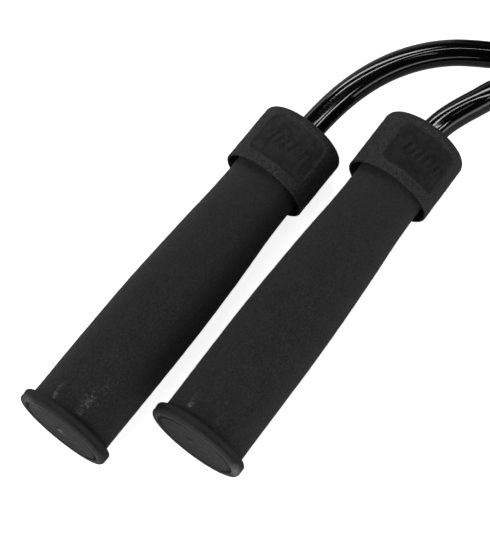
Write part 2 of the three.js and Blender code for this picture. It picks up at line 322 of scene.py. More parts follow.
def cap_rubber(name, rubs_and_highlights):
    """Moulded cap: concentric tool lines on the face, grained rim, a dusty rubbed edge that also carries a painted
    highlight, rubbed spots and painted highlights, painted shade on the rim, along its line, in the face's groove and
    towards the flange's back, and a face painted lighter, partly its own tone and partly painted light.
    """
    n = Nodes(name)
    p = n.mm()
    sep = n.add("ShaderNodeSeparateXYZ", {0: p})
    radius = n.math("SQRT", n.math("ADD", n.math("POWER", sep.outputs[0], 2.0), n.math("POWER", sep.outputs[1], 2.0)))
    drift = n.noise(p, 0.25, 2.0, 0.5)
    lines = n.math("SINE", n.math("ADD", n.math("MULTIPLY", radius, 1.9), n.math("MULTIPLY", drift, 4.0)))
    lines2 = n.math("SINE", n.math("ADD", n.math("MULTIPLY", radius, 4.4), n.math("MULTIPLY", drift, 6.0)))
    face = n.range(sep.outputs[2], 1.2, 0.3, 0, 1)
    grain = n.noise(p, 1.1, 4.0, 0.66)
    fine = n.noise(p, 2.6, 3.0, 0.7)
    bead = n.math("MULTIPLY", n.range(n.math("ABSOLUTE", n.math("SUBTRACT", radius, 17.05)), 0.35, 1.0, 1, 0), n.range(sep.outputs[2], 1.0, 1.9, 1, 0))
    wear_and_highlight = n.math("MULTIPLY", bead, n.range(n.noise(p, 0.55, 4.0, 0.7), 0.36, 0.60, 0.12, 0.42))
    rubbed_and_highlit = None
    for c, size, gain in rubs_and_highlights:
        rel = n.add("ShaderNodeVectorMath", {0: p, 1: c}, operation="SUBTRACT").outputs[0]
        rel = n.add("ShaderNodeVectorMath", {0: rel, 1: tuple(1.0 / q for q in size)}, operation="MULTIPLY").outputs[0]
        d = n.add("ShaderNodeVectorMath", {0: rel}, operation="LENGTH").outputs["Value"]
        spot = n.math("MULTIPLY", n.range(d, 1.0, 0.25, 0, gain), n.range(n.noise(p, 0.8, 3.0, 0.7), 0.36, 0.58, 0.35, 1))
        rubbed_and_highlit = spot if rubbed_and_highlit is None else n.math("MAXIMUM", rubbed_and_highlit, spot)
    base = n.mix(n.range(grain, 0.38, 0.62, 0, 1), grey(0.0095), grey(0.0210))
    # the face is lighter than the rim, partly its own tone and partly painted light
    base = n.mix(n.math("MULTIPLY", face, 0.65), base, grey(0.0330))
    base = n.mix(n.range(fine, 0.52, 0.72, 0, 0.5), base, grey(0.0400))
    rings = n.math("MULTIPLY", face, n.math("ADD", n.math("MULTIPLY", lines, 0.6), n.math("MULTIPLY", lines2, 0.4)))
    base = n.mix(n.range(rings, 0.0, 1.0, 0, 0.45), base, grey(0.0460))
    base = n.mix(n.range(rings, 0.0, -1.0, 0, 0.35), base, grey(0.0100))
    rim = n.range(sep.outputs[2], 0.9, 1.7, 0, 1)
    # painted shade: the rim is darkened
    base = n.mix(n.math("MULTIPLY", rim, 0.70), base, grey(0.0060))
    # painted shade towards the flange's back, where it meets the grip
    base = n.mix(n.range(sep.outputs[2], 3.2, 4.3, 0, 0.55), base, grey(0.0035))
    # painted shade along the line round the rim
    line = n.math("MULTIPLY", n.range(n.math("ABSOLUTE", n.math("SUBTRACT", sep.outputs[2], 2.1)), 0.15, 0.75, 0.75, 0), n.range(n.noise(p, 0.30, 3.0, 0.6), 0.38, 0.60, 0.2, 1))
    base = n.mix(n.math("MULTIPLY", line, rim), base, grey(0.0022))
    # painted shade in the ring groove on the face
    groove = n.range(n.math("ABSOLUTE", n.math("SUBTRACT", radius, 15.55)), 0.30, 0.75, 0.8, 0)
    base = n.mix(n.math("MULTIPLY", groove, face), base, grey(0.0050))
    # partly wear and partly painted highlight: a lighter band along the rounded edge of the face
    base = n.mix(n.math("MULTIPLY", wear_and_highlight, 0.85), base, grey(0.1150))
    # painted highlights: the bright patch on the left cap's rim and the bright spot beside each dimple; the right cap's
    # large spot is a worn place
    base = n.mix(rubbed_and_highlit, base, grey(0.1700))
    h = n.math("ADD", n.math("MULTIPLY", grain, 0.7), n.math("ADD", n.math("MULTIPLY", rings, 0.35), n.math("MULTIPLY", fine, 0.3)))
    return n.set(Base_Color=base, Roughness=n.math("SUBTRACT", n.range(grain, 0.3, 0.7, 0.60, 0.72), n.math("MULTIPLY", wear_and_highlight, 0.16)), Normal=n.bump(h, 0.00050, 0.6), Specular_IOR_Level=0.34)


def pvc(name):
    """Extruded PVC cord: glossy, with faint lengthwise die lines, dust and small scuffs."""
    n = Nodes(name)
    ca = n.add("ShaderNodeAttribute", attribute_name="ca").outputs["Fac"]
    sa = n.add("ShaderNodeAttribute", attribute_name="sa").outputs["Fac"]
    run = n.add("ShaderNodeAttribute", attribute_name="run").outputs["Fac"]
    along = n.add("ShaderNodeCombineXYZ", {0: n.math("MULTIPLY", ca, 7.0), 1: n.math("MULTIPLY", sa, 7.0), 2: n.math("MULTIPLY", run, 0.012)}).outputs[0]
    die = n.noise(along, 1.0, 2.0, 0.5)
    p = n.mm()
    waves = n.noise(p, 0.05, 2.0, 0.5)
    scuff = n.range(n.noise(p, 0.9, 4.0, 0.7), 0.66, 0.76, 0, 1)
    base = n.mix(waves, grey(0.0008), grey(0.0016))
    base = n.mix(n.math("MULTIPLY", scuff, 0.12), base, grey(0.03))
    h = n.math("ADD", n.math("MULTIPLY", die, 0.6), n.math("MULTIPLY", waves, 1.6))
    rough = n.math("ADD", n.range(waves, 0.3, 0.7, 0.05, 0.085), n.math("MULTIPLY", scuff, 0.12))
    return n.set(Base_Color=base, Roughness=rough, Normal=n.bump(h, 0.000005, 0.5), Specular_IOR_Level=0.5)


def webbing(name, pitch=1.1, tone=0.012):
    """Woven nylon strap: ribs across the width over a fine twill."""
    n = Nodes(name)
    p = n.mm()
    sep = n.add("ShaderNodeSeparateXYZ", {0: p})
    warp = n.math("SINE", n.math("MULTIPLY", sep.outputs[1], 2 * math.pi / pitch))
    diag = n.math("SINE", n.math("MULTIPLY", n.math("ADD", n.math("ADD", sep.outputs[0], sep.outputs[2]), n.math("MULTIPLY", sep.outputs[1], 0.5)), 2 * math.pi / (pitch * 0.62)))
    weave = n.math("ADD", n.math("MULTIPLY", warp, 0.5), n.math("MULTIPLY", diag, 0.5))
    fibre = n.noise(p, 3.5, 3.0, 0.7)
    base = n.mix(n.range(weave, -1, 1, 0, 1), grey(tone * 0.6), grey(tone * 1.5))
    base = n.mix(n.range(fibre, 0.6, 0.75, 0, 0.5), base, grey(tone * 4))
    h = n.math("ADD", weave, n.math("MULTIPLY", fibre, 0.6))
    return n.set(Base_Color=base, Roughness=n.range(fibre, 0.3, 0.7, 0.68, 0.86), Normal=n.bump(h, 0.00012, 0.6), Sheen_Weight=0.12, Sheen_Roughness=0.4)


def hook_tape(name):
    n = Nodes(name)
    p = n.mm()
    v = n.add("ShaderNodeTexVoronoi", {"Vector": p, "Scale": 1.4}).outputs["Distance"]
    fibre = n.noise(p, 4.0, 2.0, 0.7)
    base = n.mix(n.range(v, 0.0, 0.5, 0, 1), grey(0.030), grey(0.008))
    return n.set(Base_Color=base, Roughness=n.range(fibre, 0.3, 0.7, 0.6, 0.85), Normal=n.bump(v, 0.0003, -0.8))


def metal(name, tint, rough, brushed=0.0, plastic=False):
    """Ground or turned metal, or a moulded plastic, with hairlines round the axis and small marks."""
    n = Nodes(name)
    p = n.mm()
    grain = n.noise(p, 2.2, 3.0, 0.6)
    sep = n.add("ShaderNodeSeparateXYZ", {0: p})
    radius = n.math("SQRT", n.math("ADD", n.math("POWER", sep.outputs[0], 2.0), n.math("POWER", sep.outputs[1], 2.0)))
    turned = n.math("SINE", n.math("ADD", n.math("MULTIPLY", radius, 31.0), n.math("MULTIPLY", sep.outputs[2], 27.0)))
    stain = n.noise(p, 0.35, 3.0, 0.6)
    dark = tuple(c * 0.78 for c in tint) + (1.0,)
    base = n.mix(n.range(stain, 0.35, 0.7, 0, 1), tuple(tint) + (1.0,), dark)
    h = n.math("ADD", n.math("MULTIPLY", grain, 0.5), n.math("MULTIPLY", turned, brushed))
    n.set(Base_Color=base, Roughness=n.range(grain, 0.3, 0.7, rough * 0.8, rough * 1.25), Normal=n.bump(h, 0.00003, 0.5))
    n.bsdf.inputs["Metallic"].default_value = 0.0 if plastic else 1.0
    return n.mat


M_ROPE = pvc("rope_pvc_gloss")
# Both collars are the same rubber: the left copy's satin panel is painted lighter and the right's darker, as painted
# light and shade.
M_COLLAR = {"left": collar_rubber("collar_stipple_rubber_left", 0.0125, 0.0265), "right": collar_rubber("collar_stipple_rubber_right", 0.0090, 0.0190)}
M_WEB = webbing("tie_webbing")
M_HOOK = hook_tape("tie_hook_tape")
M_STEEL = metal("bearing_steel_ground", (0.56, 0.57, 0.58), 0.16, 0.25)
M_BALL = metal("ball_steel_polished", (0.68, 0.69, 0.70), 0.07, 0.0)
M_WASHER = metal("washer_steel_turned", (0.50, 0.50, 0.51), 0.28, 0.4)
M_FERRULE = metal("ferrule_aluminium_turned", (0.60, 0.60, 0.60), 0.26, 0.35)
M_CAGE = metal("cage_nylon_moulded", (0.48, 0.42, 0.30), 0.45, 0.0, plastic=True)
M_TUBE = metal("tube_plastic_moulded", (0.018, 0.018, 0.019), 0.42, 0.2, plastic=True)

# ------------------------------------------------------------------ rope: one 2.745 m cord from ferrule to ferrule
LEFT_RUN = [
    [-19.72, 33.67, 17.475], [-19.62, 41.04, 17.375], [-19.53, 48.4, 17.275], [-19.44, 55.77, 17.175],
    [-19.25, 63.13, 17.11], [-18.7, 70.48, 17.1], [-17.73, 77.78, 17.09], [-16.23, 84.99, 17.03],
    [-14.14, 92.06, 16.86], [-11.41, 98.9, 16.51], [-8.01, 105.43, 15.96], [-3.93, 111.56, 15.22],
    [0.81, 117.19, 14.3], [6.19, 122.22, 13.24], [12.17, 126.51, 12.07], [18.34, 130.53, 10.87],
    [23.9, 135.36, 9.67], [28.61, 141.01, 8.54], [32.28, 147.38, 7.53], [34.79, 154.3, 6.68],
    [36.12, 161.54, 6.02], [36.4, 168.9, 5.56], [36.4, 176.27, 5.41], [36.4, 183.63, 5.57], [36.4, 191.0, 5.81],
]
RIGHT_RUN = [
    [19.72, 57.03, 17.475], [19.62, 64.43, 17.375], [19.53, 71.83, 17.275], [19.44, 79.24, 17.175],
    [19.44, 86.64, 17.11], [20.71, 93.92, 17.1], [23.25, 100.86, 17.08], [26.25, 107.63, 16.91],
    [29.07, 114.47, 16.39], [32.52, 121.02, 15.41], [36.22, 127.43, 14.03], [39.75, 133.93, 12.35],
    [42.81, 140.67, 10.54], [45.08, 147.71, 8.79], [46.35, 155.0, 7.28], [46.6, 162.39, 6.15],
    [46.6, 169.79, 5.47], [46.6, 177.2, 5.38], [46.6, 184.6, 5.6], [46.6, 192.0, 5.85],
]
ROPE_R = 5.1
XC, Y0, LS, RI, RO, PITCH, LIFT, DROOP = 5.4, 205.0, 100.0, 31.0, 41.2, 10.3, 1.9, 1.4


def ease(t):
    t = max(0.0, min(1.0, t))
    return t * t * t * (t * (6 * t - 15) + 10)


def drop(y):
    return -DROOP * (ease((Y0 + 18 - y) / 45) + ease((y - (Y0 + LS - 18)) / 45))


def level(k):
    return LIFT + ROPE_R + PITCH * k


def oval(r, turns):
    """Anticlockwise turns of a flat oval, climbing one layer in the west half of each south bend."""
    segs, out = [LS, math.pi * r, LS, math.pi * r], []
    for q in range(int(round(turns * 4))):
        k, s = q // 4, q % 4
        m = max(2, int(round(segs[s] / 7.0)))
        for i in range(m):
            t = i / m
            z = level(k)
            if s == 0:
                x, y = XC + r, Y0 + LS * t
            elif s == 1:
                x, y = XC + r * math.cos(math.pi * t), Y0 + LS + r * math.sin(math.pi * t)
            elif s == 2:
                x, y = XC - r, Y0 + LS * (1 - t)
            else:
                a = math.pi * (1 + t)
                x, y = XC + r * math.cos(a), Y0 + r * math.sin(a)
                z += PITCH * ease(t * 180 / 112.0)
            out.append((x, y, z + drop(y)))
    return out


def bend(cx, cy, r, a0, a1, z, n, first=False):
    return [(cx + r * math.cos(math.radians(a0 + (a1 - a0) * i / n)), cy + r * math.sin(math.radians(a0 + (a1 - a0) * i / n)), z)
            for i in range(0 if first else 1, n + 1)]


def hank():
    zt, yt, yb = level(2), Y0 + LS, Y0 + 30.0
    xi, xo, xe = XC - RI, XC - RO, XC + RI - 2 * ROPE_R - 0.1
    rb, lat, ln = (xe - xo) / 2, xe - xi, yt - yb
    rs = (ln * ln + lat * lat) / (4 * lat)
    al = math.degrees(math.asin(min(1, ln / (2 * rs))))
    mid = bend(xi + rs, yt, rs, 180, 180 + al, zt, 10, True) + bend(xe - rs, yb, rs, al, 0, zt, 10)
    mid += bend(xo + rb, yb, rb, 0, -180, zt, 14)
    mid += [(xo, yb + (yt - yb) * i / 9, zt) for i in range(1, 9)]
    mid = [(x, y, z + drop(y)) for x, y, z in mid]
    return oval(RI, 2.5) + mid + [(xo, yt, zt + drop(yt))] + oval(RO, 2.5)[::-1]


route = [np.array(LEFT_RUN[0], float)]
for q in LEFT_RUN[1:] + [list(v) for v in hank()] + RIGHT_RUN[::-1]:
    if np.linalg.norm(np.array(q, float) - route[-1]) > 2.5:
        route.append(np.array(q, float))
line, ROPE_LENGTH = smooth(route, 2.5)
SIDES = 32
tangent = np.gradient(line, axis=0)
tangent /= np.linalg.norm(tangent, axis=1)[:, None]
ref = np.zeros_like(line)
ref[0] = np.cross(tangent[0], (0, 0, 1.0))
for i in range(1, len(line)):  # carry the section along without twist
    ref[i] = ref[i - 1] - tangent[i] * (ref[i - 1] @ tangent[i])
    ref[i] /= np.linalg.norm(ref[i])
other = np.cross(tangent, ref)
ang = np.arange(SIDES) * 2 * math.pi / SIDES
run_mm = np.concatenate([[0], np.cumsum(np.linalg.norm(np.diff(line, axis=0), axis=1))])
rope_verts = (line[:, None, :] + ROPE_R * (np.cos(ang)[None, :, None] * ref[:, None, :] + np.sin(ang)[None, :, None] * other[:, None, :]))
m_rings = len(line)
rope_faces = [(a, d, c, b) for a, b, c, d in grid_faces(m_rings, SIDES, False)]
flat = rope_verts.reshape(-1, 3)
ends = np.array([line[0], line[-1]])
c0, c1 = len(flat), len(flat) + 1
rope_faces += [(c0, j, (j + 1) % SIDES) for j in range(SIDES)]
last = (m_rings - 1) * SIDES
rope_faces += [(c1, last + (j + 1) % SIDES, last + j) for j in range(SIDES)]
rope = make(
    "rope_cord", np.concatenate([flat, ends]), rope_faces, M_ROPE, "rope",
    stands_for=["rope_left_run", "rope_right_run", "rope_hank"], sharp=60, weld=True,
)
# section angle and distance run, for the lengthwise die lines (the weld above may reorder vertices, so they are found again)
co = np.zeros(len(rope.data.vertices) * 3)
rope.data.vertices.foreach_get("co", co)
co = co.reshape(-1, 3) / MM
tree = kdtree.KDTree(len(flat))
for i, v in enumerate(flat.tolist()):
    tree.insert(v, i)
tree.balance()
ca, sa, rn = np.zeros(len(co)), np.zeros(len(co)), np.zeros(len(co))
for i, v in enumerate(co.tolist()):
    _, j, gap = tree.find(v)
    if gap < 0.05:
        ca[i], sa[i], rn[i] = math.cos(ang[j % SIDES]), math.sin(ang[j % SIDES]), run_mm[j // SIDES]
for k, v in (("ca", ca), ("sa", sa), ("run", rn)):
    a = rope.data.attributes.new(k, "FLOAT", "POINT")
    a.data.foreach_set("value", v.astype(np.float32))


# ------------------------------------------------------------------ hank ties: a strap round each side, with its overlap
def hull_path(centres, radius, samples=72):
    pts = []
    for cx, cz in centres:
        for i in range(samples):
            a = 2 * math.pi * i / samples
            pts.append((cx + radius * math.cos(a), cz + radius * math.sin(a)))
    pts = sorted(set((round(x, 5), round(z, 5)) for x, z in pts))

    def half(seq):
        h = []
        for p in seq:
            while len(h) >= 2 and (h[-1][0] - h[-2][0]) * (p[1] - h[-2][1]) - (h[-1][1] - h[-2][1]) * (p[0] - h[-2][0]) <= 0:
                h.pop()
            h.append(p)
        return h[:-1]

    loop = np.array(half(pts) + half(pts[::-1]))
    closed = np.vstack([loop, loop[:1]])
    s = np.concatenate([[0], np.cumsum(np.linalg.norm(np.diff(closed, axis=0), axis=1))])
    want = np.linspace(0, s[-1], 160, endpoint=False)
    return np.stack([np.interp(want, s, closed[:, k]) for k in range(2)], -1)


def band(path, closed, y, width, thick, lift=0.0, wobble=0.12, seed=0.0):
    """A strap of rounded section along a path in the XZ plane, anticlockwise, standing lift off it."""
    p = np.asarray(path, float)
    if closed:
        t = np.roll(p, -1, 0) - np.roll(p, 1, 0)
    else:
        t = np.gradient(p, axis=0)
    t /= np.linalg.norm(t, axis=1)[:, None]
    nrm = np.stack([t[:, 1], -t[:, 0]], -1)
    e, sec = min(0.35, thick * 0.35), []
    w, h = width / 2, thick
    for cy, ch, a0 in ((w - e, h - e, 0), (-w + e, h - e, 90), (-w + e, e, 180), (w - e, e, 270)):
        for q in range(4):
            a = math.radians(a0 + 30 * q)
            sec.append((cy + e * math.cos(a), ch + e * math.sin(a)))
    dense = []
    for i in range(len(sec)):  # a few points across the width so that the strap can ripple
        a, b = np.array(sec[i]), np.array(sec[(i + 1) % len(sec)])
        m = max(1, int(np.linalg.norm(b - a) / 1.6))
        dense += [tuple(a + (b - a) * q / m) for q in range(m)]
    verts = []
    for i in range(len(p)):
        for yy, hh in dense:
            wav = wobble * noise.noise(Vector((p[i][0] * 0.12 + seed, p[i][1] * 0.12, yy * 0.09)))
            d = lift + hh + max(0.0, wav)
            verts.append((p[i][0] + nrm[i][0] * d, y + yy, p[i][1] + nrm[i][1] * d))
    k = len(dense)
    faces = grid_faces(len(p), k, closed)
    if not closed:
        faces += [tuple(range(k))[::-1], tuple((len(p) - 1) * k + j for j in range(k))]
    return np.array(verts), faces


TIE_T, TIE_W = 1.3, 16.0
for tag, cx_in, cx_out, ty, centres in (
    ("east", XC + RI, XC + RO, 280.0, [(XC + RI, level(0)), (XC + RO, level(0)), (XC + RI, level(2)), (XC + RO, level(2))]),
    ("west", XC - RI, XC - RO, 230.0, [(XC - RI, level(0)), (XC - RO, level(0)), (XC - RI, level(1)), (XC - RO + 1.2, level(2))]),
):
    loop = hull_path(centres, ROPE_R + 0.42)
    v, f = band(loop, True, ty, TIE_W, TIE_T, wobble=0.1, seed=3.0 if tag == "east" else 9.0)
    v[:, 2] = np.maximum(v[:, 2], 0.02)
    make(f"hank_tie_{tag}_strap", v, f, M_WEB, "rope", stands_for=[f"hank_tie_{tag}"], weld=True)
    # the free end laps over the top of the loop and finishes in a rounded, slightly lifted tab
    top = loop[:, 1].argmax()
    order = np.roll(loop, -top, 0)
    lap = np.vstack([order[-16:], order[:44]])
    lv, lf = band(lap, False, ty, TIE_W - 0.4, 1.1, lift=TIE_T + 0.12, wobble=0.15, seed=17.0)
    rows = len(lap)
    per = len(lv) // rows
    for i in range(rows):
        u = i / (rows - 1)
        for j in range(per):
            idx = i * per + j
            if u < 0.09:  # rounded end of the tab, lifting a little
                squeeze = math.sqrt(max(0.0, 1 - ((0.09 - u) / 0.09) ** 2)) * 0.55 + 0.45
                lv[idx][1] = ty + (lv[idx][1] - ty) * squeeze
                lv[idx][2] += 0.5 * (1 - u / 0.09) ** 2
    make(f"hank_tie_{tag}_lap", lv, lf, M_WEB, "rope", weld=True)
    # hook patch and the two rows of stitches that hold it
    pv, pf = band(lap[20:44], False, ty, TIE_W - 3.2, 0.45, lift=TIE_T + 1.26, wobble=0.02)
    make(f"hank_tie_{tag}_hook_patch", pv, pf, M_HOOK, "rope", weld=True)
    sv, sf = [], []
    pt = lap[22:42]
    tt = np.gradient(pt, axis=0)
    tt /= np.linalg.norm(tt, axis=1)[:, None]
    nn = np.stack([tt[:, 1], -tt[:, 0]], -1)
    for row in (-1, 1):
        for i in range(0, len(pt), 2):
            base = len(sv)
            c = np.array((pt[i][0] + nn[i][0] * (TIE_T + 1.78), ty + row * (TIE_W / 2 - 2.4), pt[i][1] + nn[i][1] * (TIE_T + 1.78)))
            d3 = np.array((tt[i][0], 0, tt[i][1]))
            u3, w3 = np.array((0, 1.0, 0)), np.array((nn[i][0], 0, nn[i][1]))
            for k in range(7):
                s = (k / 6 - 0.5) * 1.1
                rr = 0.17 * math.sqrt(max(0.03, 1 - (abs(k - 3) / 3) ** 2))
                for q in range(8):
                    a = math.pi * q / 4
                    sv.append(c + d3 * s + u3 * rr * math.cos(a) + w3 * (rr * math.sin(a) - 0.10 * (abs(k - 3) / 3) ** 2))
            sf += [(base + k * 8 + q, base + k * 8 + (q + 1) % 8, base + (k + 1) * 8 + (q + 1) % 8, base + (k + 1) * 8 + q) for k in range(6) for q in range(8)]
            sf += [tuple(base + q for q in range(8))[::-1], tuple(base + 48 + q for q in range(8))]
    make(f"hank_tie_{tag}_stitches", np.array(sv), sf, M_WEB, "rope", weld=True)

# ------------------------------------------------------------------ handles
HANDLE_LENGTH, FLANGE_R, FLANGE_T = 144.72, 19.02, 4.5
COLLAR_START, COLLAR_R, SKIRT_R, WALL_Z = 118.92, 17.15, 15.0, 137.9
GRIP_PROFILE = np.array([
    [4.8, 16.0], [5.6, 16.45], [10, 16.5], [33.3, 16.55], [47.6, 16.47], [61.8, 16.23],
    [76.1, 15.68], [90.4, 14.97], [104.7, 14.1], [112, 13.86], [118.9, 13.76], [120.9, 13.75],
])
TUBE_OUT, TUBE_IN, TUBE_END = 10.5, 8.6, 126.2
HOUSING = {"z0": 122.1, "z1": 137.6, "rOut": 14.6, "rSeat": 12.3, "wall": 132.8, "rHole": 7.6}
BEARING = {"z": 129.5, "half": 3.0, "rOut": 12.0, "rBore": 6.0, "pitch": 9.0, "ball": 1.75, "groove": 2.05, "balls": 8}


def place(at, along):
    z = Vector(along).normalized()
    up = (Vector((0, 0, 1)) - z * z.z).normalized()
    side = up.cross(z)
    m = Matrix.Identity(4)
    for i in range(3):
        m[i][0], m[i][1], m[i][2], m[i][3] = side[i], up[i], z[i], at[i] * MM
    return m


def end_cap(seed, mark, waist, crease):
    prof = corners([
        (0.0, 0.22, 0), (8.0, 0.20, 0), (14.95, 0.16, 0.15), (15.20, 1.00, 0.12), (15.85, 1.00, 0.12), (16.15, 0.06, 0.18),
        (19.02, 0.0, 2.22), (19.02, 4.5, 2.22), (17.2, 4.50, 0.2), (16.6, 4.55, 0.1), (16.2, 4.60, 0), (8.2, 5.0, 0.3), (8.2, 16, 0.5), (0.0, 16, 0),
    ], closed=False, seg=9)
    prof = densify(prof, 0.45, closed=False)

    def shape(r, z, t):
        x, y = r * np.cos(t), r * np.sin(t)
        face = (z < 1.4) & (r < 17.2)
        # shallow rings left by the mould tool, a slightly uneven lip, and the oblong gate mark in the middle
        ring = 0.060 * np.sin(r * 1.9 + 0.5 * np.sin(t * 2 + seed)) + 0.030 * np.sin(r * 4.4 + 1.3)
        away = np.hypot(x - mark[0], y - mark[1])
        z = z + np.where(face & (np.abs(r - 15.6) > 0.75), 1.4 * ring * step(away, 2.6, 4.8), 0)
        broken = 0.42 * step(np.sin(3 * t + seed), 0.35, 0.75)  # the groove is shallower in places
        z = z - np.where((np.abs(r - 15.55) < 0.50) & (z > 0.4) & (z < 1.2), broken, 0)
        pit = 1 - step(away, 1.45, 2.15)  # round dimple with a raised edge, where the moulding was fed
        z = z + np.where(face, 1.15 * pit - 0.12 * np.exp(-((away - 2.45) / 0.30) ** 2), 0)
        r = r - np.where(r > 18.0, waist * np.exp(-((z - 2.1) / 0.50) ** 2) * step(np.sin(t), 0.0, 0.5), 0)
        open_at = step(np.degrees(t % (2 * math.pi)), *crease)  # where the crease behind the flange stands open
        z = z - np.where((z > 4.3) & (r > 15.9) & (r < 17.6), 0.95 * open_at * (1 - np.clip(np.abs(r - 16.6) / 1.0, 0, 1)), 0)
        pts = np.stack([x, y, z], -1).reshape(-1, 3)
        lump = nz(pts, 0.12, seed).reshape(r.shape)
        r = r + np.where((z > 0.4) & (z < 4.4) & (r > 15.8), 0.05 * lump - 0.04, 0)
        return r, np.maximum(z, 0.0)

    return revolve(prof, 224, False, shape)


def grip(seed):
    zs = np.concatenate([np.linspace(4.85, 9.0, 12), np.arange(9.6, 120.2, 0.72), [120.5, 120.9]])
    # a smooth line through the sleeve's stations
    a = GRIP_PROFILE[2:]
    spline, _ = smooth([(r, 0, z) for z, r in a], 0.5)
    rs = np.where(zs < 10, 16.5, np.interp(zs, spline[:, 2], spline[:, 0]))
    rs = rs + 0.35 * np.exp(-((zs - 4.8) / 0.7))  # the sleeve just swells on to the flange
    rs = np.minimum(rs, 17.0)
    outer = [(r, z) for r, z in zip(rs.tolist(), zs.tolist())]
    inner = [(13.2, 121.0), (12.6, 120.95), (10.85, 120.9), (10.8, 120.3), (10.8, 62.0), (10.8, 5.3), (10.9, 4.8), (16.4, 4.75), (17.35, 4.72)]
    prof = outer + inner
    k = len(outer)

    def shape(r, z, t):
        x, y = r * np.cos(t), r * np.sin(t)
        pts = np.stack([x, y, z], -1)[:k].reshape(-1, 3)
        big = nz(pts, 0.035, seed) * 0.10
        mid = nz(pts, 0.24, seed + 5) * 0.05
        small = nz(pts, 0.62, seed + 9) * 0.055
        d = (big + mid + small).reshape(k, -1)
        fade = step(z[:k], 4.8, 7.0) * (1 - step(z[:k], 119.0, 120.5))
        r = r.copy()
        r[:k] += d * fade - 0.03
        return r, z

    return revolve(prof, 150, True, shape)


def collar(theta0, half_lo, half_hi, seed):
    """Skirted nose collar with a round-cornered, slightly sunken panel that carries a plain row of slanted ribs."""
    z0, z1 = COLLAR_START, HANDLE_LENGTH
    wall = [(17.15, z) for z in np.arange(z0 + 2.0, z1 - 4.0, 0.27)]
    lip = corners([(SKIRT_R, z0 + 5.2, 0), (16.15, z0 + 1.2, 1.5), (16.35, z0 + 0.02, 0.30), (17.20, z0, 0.62), (17.15, z0 + 2.6, 0)], closed=False, seg=9)
    nose = corners([(17.15, z1 - 5.0, 0), (17.15, z1 - 0.02, 3.7), (6.2, z1, 0.7), (5.65, z1 - 1.6, 0)], closed=False, seg=14)
    nose = densify(nose, 0.5, closed=False)
    inside = [(5.65, z) for z in (142.4, 140.4, 138.4)] + [(5.75, WALL_Z)] + [(r, WALL_Z) for r in (8.0, 11.0, 14.5)] + [(SKIRT_R, WALL_Z - 0.5)]
    inside += [(SKIRT_R, z) for z in (134.0, 130.0, 127.0, 125.2)]
    prof = lip + [w for w in wall if z0 + 2.7 < w[1] < z1 - 3.9] + [q for q in nose if q[1] > z1 - 3.85] + inside
    outer_count = len(prof) - len(inside)
    n = 448
    panel_out = {}

    def shape(r, z, t):
        dt = (t - theta0 + math.pi) % (2 * math.pi) - math.pi
        s = dt * 17.15
        lo, hi = -half_lo * 17.15, half_hi * 17.15
        mid, hw = (lo + hi) / 2, (hi - lo) / 2
        zc, hh, cr = 132.1, 8.9, 3.2
        qx, qz = np.abs(s - mid) - hw + cr, np.abs(z - zc) - hh + cr
        sdf = np.hypot(np.maximum(qx, 0), np.maximum(qz, 0)) + np.minimum(np.maximum(qx, qz), 0) - cr
        outer = np.zeros_like(r, bool)
        outer[:outer_count] = True
        outer &= r > 15.6
        inside_panel = 1 - step(sdf, -0.95, 0.35)
        smooth_zone = 1 - step(sdf, -1.2, 0.5)
        # the row of slanted ribs, evenly spaced and all alike
        ribs = np.zeros_like(r)
        for q in range(-3, 4):
            cs, cz = mid + q * 2.7 + 0.4, zc - 0.2
            u = (s - cs) - 0.30 * (z - cz)
            w = np.abs(z - cz)
            ribs = np.maximum(ribs, (1 - step(np.abs(u), 0.50, 0.86)) * (1 - step(w, 2.1, 2.5)))
        border = np.exp(-((sdf - 0.55) / 0.60) ** 2) * step(-(z - zc), 5.0, 8.5) * (1 - step(np.abs(s - mid), 7.0, 11.5))  # rolled edge below the panel
        pts = np.stack([r * np.cos(t), r * np.sin(t), z], -1)[:outer_count].reshape(-1, 3)
        grain = np.zeros_like(r)
        g = nz(pts, 0.80, seed) * 0.10 + nz(pts, 1.7, seed + 4) * 0.055
        grain[:outer_count] = g.reshape(outer_count, -1)
        soft = np.zeros_like(r)
        soft[:outer_count] = (nz(pts, 0.10, seed + 8) * 0.07).reshape(outer_count, -1)
        edge = step(z, z0 + 0.4, z0 + 2.4)
        d = -0.50 * inside_panel + 0.50 * ribs * inside_panel + 0.30 * border + grain * (1 - 0.88 * smooth_zone) * (0.35 + 0.65 * edge) + soft - 0.06
        panel_out["v"] = np.where(outer, smooth_zone * (1 - 0.35 * ribs), 0).reshape(-1)
        return r + np.where(outer, d, 0), z

    v, f, _ = revolve(prof, n, True, shape)
    return v, f, panel_out["v"]


def inner_ring(points, n=96):
    v, f, _ = revolve(densify(corners(points, True, 4), 1.5), n, True)
    return v, f


PATCHES = {  # centre, size, threshold and strength of each dusty scuff near the butt
    "left": [((4.35, 15.9, 6.7), (1.5, 1.5, 2.1), 0.38, 0.90), ((4.85, 15.8, 10.2), (1.4, 1.4, 4.0), 0.45, 0.60),
             ((-6.4, 15.2, 11.6), (3.1, 3.1, 7.0), 0.455, 0.78), ((-7.7, 14.6, 19.5), (3.0, 3.0, 6.5), 0.53, 0.45),
             ((-9.8, 13.3, 13.0), (3.4, 3.4, 6.0), 0.56, 0.35), ((-6.0, 15.4, 6.4), (2.4, 2.4, 1.3), 0.44, 0.55)],
    "right": [((4.85, 15.8, 7.8), (1.6, 1.6, 2.2), 0.40, 0.85), ((5.45, 15.6, 11.4), (1.4, 1.4, 4.2), 0.47, 0.50),
              ((-6.3, 15.2, 9.3), (2.0, 2.0, 5.2), 0.51, 0.50), ((-5.2, 15.7, 15.6), (2.2, 2.2, 4.0), 0.53, 0.38)],
}
CREASE_SHADE = {"left": (4.3, -8.2), "right": (-15.0, -1.0)}  # where shade is painted into the crease behind the flange, across the handle
